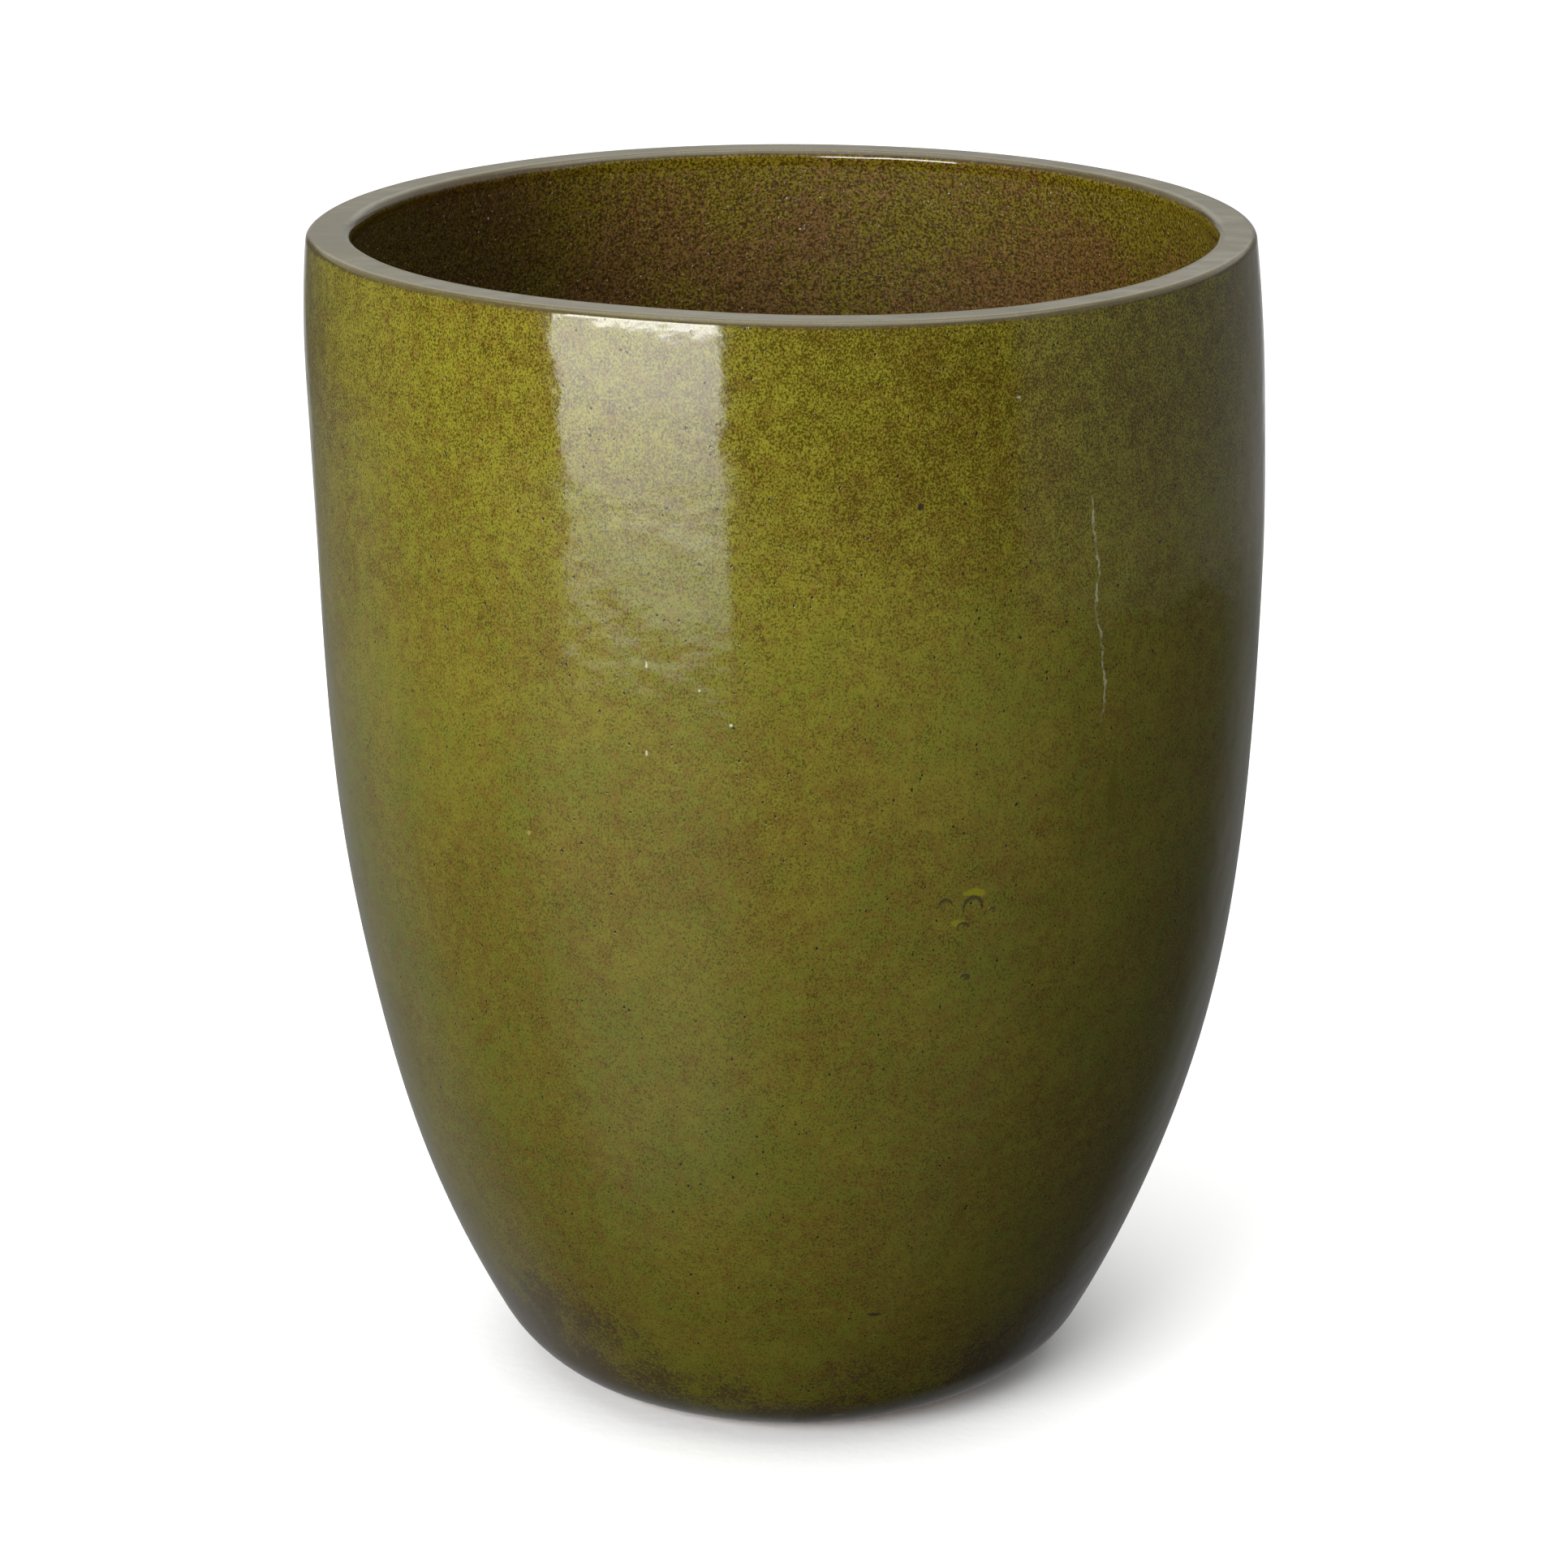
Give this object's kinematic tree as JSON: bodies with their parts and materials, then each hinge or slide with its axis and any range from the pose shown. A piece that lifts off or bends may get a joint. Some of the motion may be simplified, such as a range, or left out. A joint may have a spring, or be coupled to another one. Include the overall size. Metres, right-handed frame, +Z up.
{
  "type": "glazed ceramic planter",
  "caption": "Tall round ceramic planter with a bellied tapering wall, a flat lip, a rounded heel and a drain hole, glossy glaze outside and rough thin glaze inside; holds soil and a plant.",
  "frame": {"origin": "on the ground, under the centre of the foot ring", "axes": "+Z up along the pot's axis; +X to the right and -Y towards the camera in the picture's view"},
  "size_m": [0.558, 0.558, 0.7],
  "materials": {
    "fired_clay": "matte",
    "green_glaze": "gloss",
    "brown_glaze": "satin"
  },
  "bodies": {
    "root": {"clay_body": "fired_clay", "outer_glaze": "green_glaze", "inner_glaze": "brown_glaze"}
  },
  "joints": []
}
